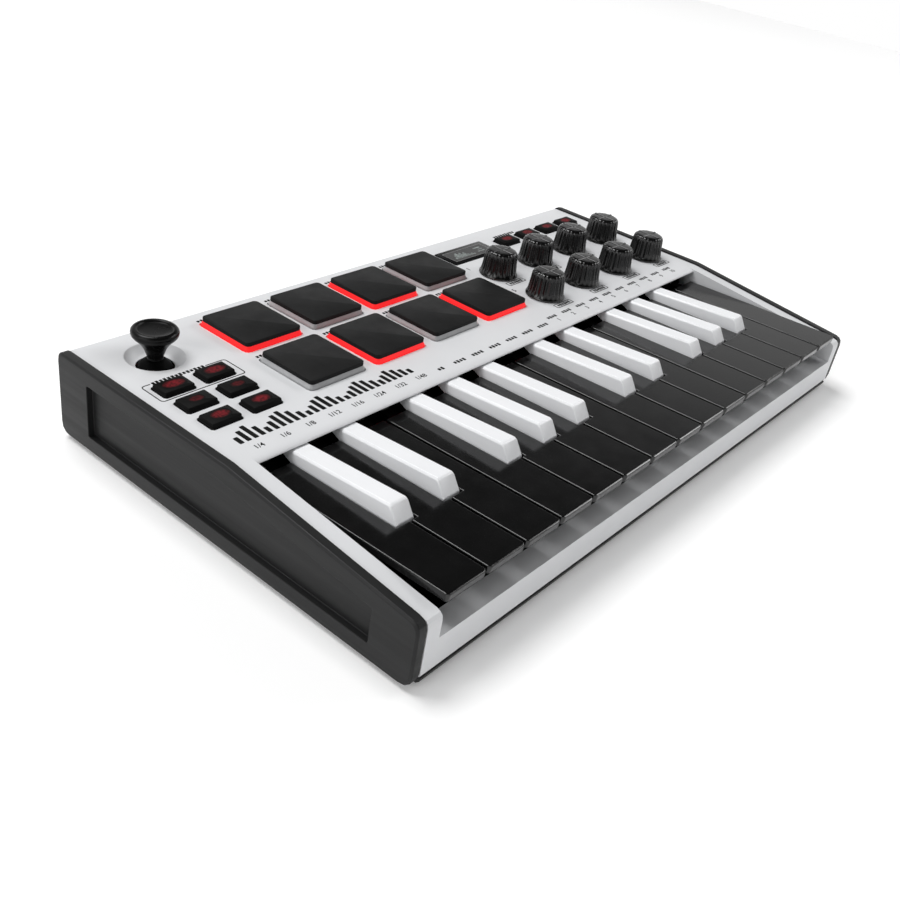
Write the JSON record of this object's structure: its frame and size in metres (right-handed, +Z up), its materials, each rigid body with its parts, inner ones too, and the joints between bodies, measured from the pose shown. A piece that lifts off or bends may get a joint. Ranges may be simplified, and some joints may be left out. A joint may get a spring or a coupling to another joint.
{
  "type": "midi keyboard",
  "caption": "Compact MIDI keyboard controller with mini keys, drum pads, endless knobs, push buttons, a small display and a two-axis joystick.",
  "frame": {"origin": "on the table, under the middle of the case's bounding box", "axes": "+X to the player's right along the keys, +Y from the player to the back, +Z up"},
  "size_m": [0.318, 0.177, 0.0466],
  "materials": {
    "shell_plastic": "satin",
    "charcoal_plastic": "matte",
    "black_plastic": "matte",
    "display_glass": "gloss",
    "board_laminate": "satin",
    "nylon_plastic": "satin",
    "gloss_black_plastic": "gloss",
    "white_plastic": "satin",
    "pad_rubber": "matte",
    "knob_rubber": "matte"
  },
  "bodies": {
    "case": {"top_case": "shell_plastic", "bottom_case": "black_plastic", "left_cheek": "charcoal_plastic", "right_cheek": "charcoal_plastic", "display_window": "display_glass", "circuit_board": "board_laminate", "key_bed": "nylon_plastic"},
    "key_c3": {"key_c3": "gloss_black_plastic"},
    "key_cs3": {"key_cs3": "white_plastic"},
    "key_d3": {"key_d3": "gloss_black_plastic"},
    "key_ds3": {"key_ds3": "white_plastic"},
    "key_e3": {"key_e3": "gloss_black_plastic"},
    "key_f3": {"key_f3": "gloss_black_plastic"},
    "key_fs3": {"key_fs3": "white_plastic"},
    "key_g3": {"key_g3": "gloss_black_plastic"},
    "key_gs3": {"key_gs3": "white_plastic"},
    "key_a3": {"key_a3": "gloss_black_plastic"},
    "key_as3": {"key_as3": "white_plastic"},
    "key_b3": {"key_b3": "gloss_black_plastic"},
    "key_c4": {"key_c4": "gloss_black_plastic"},
    "key_cs4": {"key_cs4": "white_plastic"},
    "key_d4": {"key_d4": "gloss_black_plastic"},
    "key_ds4": {"key_ds4": "white_plastic"},
    "key_e4": {"key_e4": "gloss_black_plastic"},
    "key_f4": {"key_f4": "gloss_black_plastic"},
    "key_fs4": {"key_fs4": "white_plastic"},
    "key_g4": {"key_g4": "gloss_black_plastic"},
    "key_gs4": {"key_gs4": "white_plastic"},
    "key_a4": {"key_a4": "gloss_black_plastic"},
    "key_as4": {"key_as4": "white_plastic"},
    "key_b4": {"key_b4": "gloss_black_plastic"},
    "key_c5": {"key_c5": "gloss_black_plastic"},
    "pad_1": {"pad_1": "pad_rubber"},
    "pad_2": {"pad_2": "pad_rubber"},
    "pad_3": {"pad_3": "pad_rubber"},
    "pad_4": {"pad_4": "pad_rubber"},
    "pad_5": {"pad_5": "pad_rubber"},
    "pad_6": {"pad_6": "pad_rubber"},
    "pad_7": {"pad_7": "pad_rubber"},
    "pad_8": {"pad_8": "pad_rubber"},
    "knob_1": {"knob_1": "knob_rubber"},
    "knob_2": {"knob_2": "knob_rubber"},
    "knob_3": {"knob_3": "knob_rubber"},
    "knob_4": {"knob_4": "knob_rubber"},
    "knob_5": {"knob_5": "knob_rubber"},
    "knob_6": {"knob_6": "knob_rubber"},
    "knob_7": {"knob_7": "knob_rubber"},
    "knob_8": {"knob_8": "knob_rubber"},
    "button_1": {"button_1": "black_plastic"},
    "button_2": {"button_2": "black_plastic"},
    "button_3": {"button_3": "black_plastic"},
    "button_4": {"button_4": "black_plastic"},
    "button_5": {"button_5": "black_plastic"},
    "button_6": {"button_6": "black_plastic"},
    "button_7": {"button_7": "black_plastic"},
    "button_8": {"button_8": "black_plastic"},
    "button_9": {"button_9": "black_plastic"},
    "button_10": {"button_10": "black_plastic"},
    "joystick": {"joystick": "black_plastic"},
    "joystick_gimbal": {"joystick_gimbal": "nylon_plastic"}
  },
  "joints": [
    {"name": "joystick_bend", "type": "hinge", "parent": "case", "child": "joystick_gimbal", "pos_m": [-0.1323, 0.0674, 0.027], "axis": [0, 1, 0], "range_deg": [-20, 20], "stiffness_Nm_per_rad": 0.02},
    {"name": "joystick_mod", "type": "hinge", "parent": "joystick_gimbal", "child": "joystick", "pos_m": [-0.1323, 0.0674, 0.027], "axis": [1, 0, 0], "range_deg": [-20, 20], "stiffness_Nm_per_rad": 0.02},
    {"name": "knob_1_turn", "type": "hinge", "parent": "case", "child": "knob_1", "pos_m": [0.0474, 0.0459, 0.0347], "axis": [0, 0, 1], "continuous": true},
    {"name": "knob_8_turn", "type": "hinge", "parent": "case", "child": "knob_8", "pos_m": [0.1383, 0.018, 0.0347], "axis": [0, 0, 1], "continuous": true},
    {"name": "pad_1_press", "type": "slide", "parent": "case", "child": "pad_1", "axis": [0, 0, -1], "range_m": [0, 0.001], "stiffness_N_per_m": 1500, "springref_m": -0.0006},
    {"name": "pad_8_press", "type": "slide", "parent": "case", "child": "pad_8", "axis": [0, 0, -1], "range_m": [0, 0.001], "stiffness_N_per_m": 1500, "springref_m": -0.0006},
    {"name": "button_1_press", "type": "slide", "parent": "case", "child": "button_1", "axis": [0, 0, -1], "range_m": [0, 0.0008], "stiffness_N_per_m": 400, "springref_m": -0.0008},
    {"name": "button_10_press", "type": "slide", "parent": "case", "child": "button_10", "axis": [0, 0, -1], "range_m": [0, 0.0008], "stiffness_N_per_m": 400, "springref_m": -0.0008},
    {"name": "key_c3_hinge", "type": "hinge", "parent": "case", "child": "key_c3", "pos_m": [0, 0, 0.026], "axis": [1, 0, 0], "range_deg": [0, 2.3], "stiffness_Nm_per_rad": 0.4, "springref_deg": -5.16},
    {"name": "key_cs3_hinge", "type": "hinge", "parent": "case", "child": "key_cs3", "pos_m": [0, 0, 0.026], "axis": [1, 0, 0], "range_deg": [0, 2.3], "stiffness_Nm_per_rad": 0.4, "springref_deg": -5.16},
    {"name": "key_d3_hinge", "type": "hinge", "parent": "case", "child": "key_d3", "pos_m": [0, 0, 0.026], "axis": [1, 0, 0], "range_deg": [0, 2.3], "stiffness_Nm_per_rad": 0.4, "springref_deg": -5.16},
    {"name": "key_e3_hinge", "type": "hinge", "parent": "case", "child": "key_e3", "pos_m": [0, 0, 0.026], "axis": [1, 0, 0], "range_deg": [0, 2.3], "stiffness_Nm_per_rad": 0.4, "springref_deg": -5.16},
    {"name": "key_f3_hinge", "type": "hinge", "parent": "case", "child": "key_f3", "pos_m": [0, 0, 0.026], "axis": [1, 0, 0], "range_deg": [0, 2.3], "stiffness_Nm_per_rad": 0.4, "springref_deg": -5.16},
    {"name": "key_fs3_hinge", "type": "hinge", "parent": "case", "child": "key_fs3", "pos_m": [0, 0, 0.026], "axis": [1, 0, 0], "range_deg": [0, 2.3], "stiffness_Nm_per_rad": 0.4, "springref_deg": -5.16},
    {"name": "key_g3_hinge", "type": "hinge", "parent": "case", "child": "key_g3", "pos_m": [0, 0, 0.026], "axis": [1, 0, 0], "range_deg": [0, 2.3], "stiffness_Nm_per_rad": 0.4, "springref_deg": -5.16},
    {"name": "key_gs3_hinge", "type": "hinge", "parent": "case", "child": "key_gs3", "pos_m": [0, 0, 0.026], "axis": [1, 0, 0], "range_deg": [0, 2.3], "stiffness_Nm_per_rad": 0.4, "springref_deg": -5.16},
    {"name": "key_a3_hinge", "type": "hinge", "parent": "case", "child": "key_a3", "pos_m": [0, 0, 0.026], "axis": [1, 0, 0], "range_deg": [0, 2.3], "stiffness_Nm_per_rad": 0.4, "springref_deg": -5.16},
    {"name": "key_as3_hinge", "type": "hinge", "parent": "case", "child": "key_as3", "pos_m": [0, 0, 0.026], "axis": [1, 0, 0], "range_deg": [0, 2.3], "stiffness_Nm_per_rad": 0.4, "springref_deg": -5.16},
    {"name": "key_b3_hinge", "type": "hinge", "parent": "case", "child": "key_b3", "pos_m": [0, 0, 0.026], "axis": [1, 0, 0], "range_deg": [0, 2.3], "stiffness_Nm_per_rad": 0.4, "springref_deg": -5.16},
    {"name": "key_c5_hinge", "type": "hinge", "parent": "case", "child": "key_c5", "pos_m": [0, 0, 0.026], "axis": [1, 0, 0], "range_deg": [0, 2.3], "stiffness_Nm_per_rad": 0.4, "springref_deg": -5.16},
    {"name": "key_ds3_hinge", "type": "hinge", "parent": "case", "child": "key_ds3", "pos_m": [0, 0, 0.026], "axis": [1, 0, 0], "range_deg": [0, 2.3], "stiffness_Nm_per_rad": 0.4, "springref_deg": -5.16},
    {"name": "key_c4_hinge", "type": "hinge", "parent": "case", "child": "key_c4", "pos_m": [0, 0, 0.026], "axis": [1, 0, 0], "range_deg": [0, 2.3], "stiffness_Nm_per_rad": 0.4, "springref_deg": -5.16},
    {"name": "key_cs4_hinge", "type": "hinge", "parent": "case", "child": "key_cs4", "pos_m": [0, 0, 0.026], "axis": [1, 0, 0], "range_deg": [0, 2.3], "stiffness_Nm_per_rad": 0.4, "springref_deg": -5.16},
    {"name": "key_d4_hinge", "type": "hinge", "parent": "case", "child": "key_d4", "pos_m": [0, 0, 0.026], "axis": [1, 0, 0], "range_deg": [0, 2.3], "stiffness_Nm_per_rad": 0.4, "springref_deg": -5.16},
    {"name": "key_ds4_hinge", "type": "hinge", "parent": "case", "child": "key_ds4", "pos_m": [0, 0, 0.026], "axis": [1, 0, 0], "range_deg": [0, 2.3], "stiffness_Nm_per_rad": 0.4, "springref_deg": -5.16},
    {"name": "key_e4_hinge", "type": "hinge", "parent": "case", "child": "key_e4", "pos_m": [0, 0, 0.026], "axis": [1, 0, 0], "range_deg": [0, 2.3], "stiffness_Nm_per_rad": 0.4, "springref_deg": -5.16},
    {"name": "key_f4_hinge", "type": "hinge", "parent": "case", "child": "key_f4", "pos_m": [0, 0, 0.026], "axis": [1, 0, 0], "range_deg": [0, 2.3], "stiffness_Nm_per_rad": 0.4, "springref_deg": -5.16},
    {"name": "key_fs4_hinge", "type": "hinge", "parent": "case", "child": "key_fs4", "pos_m": [0, 0, 0.026], "axis": [1, 0, 0], "range_deg": [0, 2.3], "stiffness_Nm_per_rad": 0.4, "springref_deg": -5.16},
    {"name": "key_g4_hinge", "type": "hinge", "parent": "case", "child": "key_g4", "pos_m": [0, 0, 0.026], "axis": [1, 0, 0], "range_deg": [0, 2.3], "stiffness_Nm_per_rad": 0.4, "springref_deg": -5.16},
    {"name": "key_gs4_hinge", "type": "hinge", "parent": "case", "child": "key_gs4", "pos_m": [0, 0, 0.026], "axis": [1, 0, 0], "range_deg": [0, 2.3], "stiffness_Nm_per_rad": 0.4, "springref_deg": -5.16},
    {"name": "key_a4_hinge", "type": "hinge", "parent": "case", "child": "key_a4", "pos_m": [0, 0, 0.026], "axis": [1, 0, 0], "range_deg": [0, 2.3], "stiffness_Nm_per_rad": 0.4, "springref_deg": -5.16},
    {"name": "key_as4_hinge", "type": "hinge", "parent": "case", "child": "key_as4", "pos_m": [0, 0, 0.026], "axis": [1, 0, 0], "range_deg": [0, 2.3], "stiffness_Nm_per_rad": 0.4, "springref_deg": -5.16},
    {"name": "key_b4_hinge", "type": "hinge", "parent": "case", "child": "key_b4", "pos_m": [0, 0, 0.026], "axis": [1, 0, 0], "range_deg": [0, 2.3], "stiffness_Nm_per_rad": 0.4, "springref_deg": -5.16},
    {"name": "knob_2_turn", "type": "hinge", "parent": "case", "child": "knob_2", "pos_m": [0.0777, 0.0459, 0.0347], "axis": [0, 0, 1], "continuous": true},
    {"name": "knob_3_turn", "type": "hinge", "parent": "case", "child": "knob_3", "pos_m": [0.108, 0.0459, 0.0347], "axis": [0, 0, 1], "continuous": true},
    {"name": "knob_4_turn", "type": "hinge", "parent": "case", "child": "knob_4", "pos_m": [0.1383, 0.0459, 0.0347], "axis": [0, 0, 1], "continuous": true},
    {"name": "knob_5_turn", "type": "hinge", "parent": "case", "child": "knob_5", "pos_m": [0.0474, 0.018, 0.0347], "axis": [0, 0, 1], "continuous": true},
    {"name": "knob_6_turn", "type": "hinge", "parent": "case", "child": "knob_6", "pos_m": [0.0777, 0.018, 0.0347], "axis": [0, 0, 1], "continuous": true},
    {"name": "knob_7_turn", "type": "hinge", "parent": "case", "child": "knob_7", "pos_m": [0.108, 0.018, 0.0347], "axis": [0, 0, 1], "continuous": true},
    {"name": "pad_2_press", "type": "slide", "parent": "case", "child": "pad_2", "axis": [0, 0, -1], "range_m": [0, 0.001], "stiffness_N_per_m": 1500, "springref_m": -0.0006},
    {"name": "pad_3_press", "type": "slide", "parent": "case", "child": "pad_3", "axis": [0, 0, -1], "range_m": [0, 0.001], "stiffness_N_per_m": 1500, "springref_m": -0.0006},
    {"name": "pad_4_press", "type": "slide", "parent": "case", "child": "pad_4", "axis": [0, 0, -1], "range_m": [0, 0.001], "stiffness_N_per_m": 1500, "springref_m": -0.0006},
    {"name": "pad_5_press", "type": "slide", "parent": "case", "child": "pad_5", "axis": [0, 0, -1], "range_m": [0, 0.001], "stiffness_N_per_m": 1500, "springref_m": -0.0006},
    {"name": "pad_6_press", "type": "slide", "parent": "case", "child": "pad_6", "axis": [0, 0, -1], "range_m": [0, 0.001], "stiffness_N_per_m": 1500, "springref_m": -0.0006},
    {"name": "pad_7_press", "type": "slide", "parent": "case", "child": "pad_7", "axis": [0, 0, -1], "range_m": [0, 0.001], "stiffness_N_per_m": 1500, "springref_m": -0.0006},
    {"name": "button_2_press", "type": "slide", "parent": "case", "child": "button_2", "axis": [0, 0, -1], "range_m": [0, 0.0008], "stiffness_N_per_m": 400, "springref_m": -0.0008},
    {"name": "button_3_press", "type": "slide", "parent": "case", "child": "button_3", "axis": [0, 0, -1], "range_m": [0, 0.0008], "stiffness_N_per_m": 400, "springref_m": -0.0008},
    {"name": "button_4_press", "type": "slide", "parent": "case", "child": "button_4", "axis": [0, 0, -1], "range_m": [0, 0.0008], "stiffness_N_per_m": 400, "springref_m": -0.0008},
    {"name": "button_5_press", "type": "slide", "parent": "case", "child": "button_5", "axis": [0, 0, -1], "range_m": [0, 0.0008], "stiffness_N_per_m": 400, "springref_m": -0.0008},
    {"name": "button_6_press", "type": "slide", "parent": "case", "child": "button_6", "axis": [0, 0, -1], "range_m": [0, 0.0008], "stiffness_N_per_m": 400, "springref_m": -0.0008},
    {"name": "button_7_press", "type": "slide", "parent": "case", "child": "button_7", "axis": [0, 0, -1], "range_m": [0, 0.0008], "stiffness_N_per_m": 400, "springref_m": -0.0008},
    {"name": "button_8_press", "type": "slide", "parent": "case", "child": "button_8", "axis": [0, 0, -1], "range_m": [0, 0.0008], "stiffness_N_per_m": 400, "springref_m": -0.0008},
    {"name": "button_9_press", "type": "slide", "parent": "case", "child": "button_9", "axis": [0, 0, -1], "range_m": [0, 0.0008], "stiffness_N_per_m": 400, "springref_m": -0.0008}
  ]
}
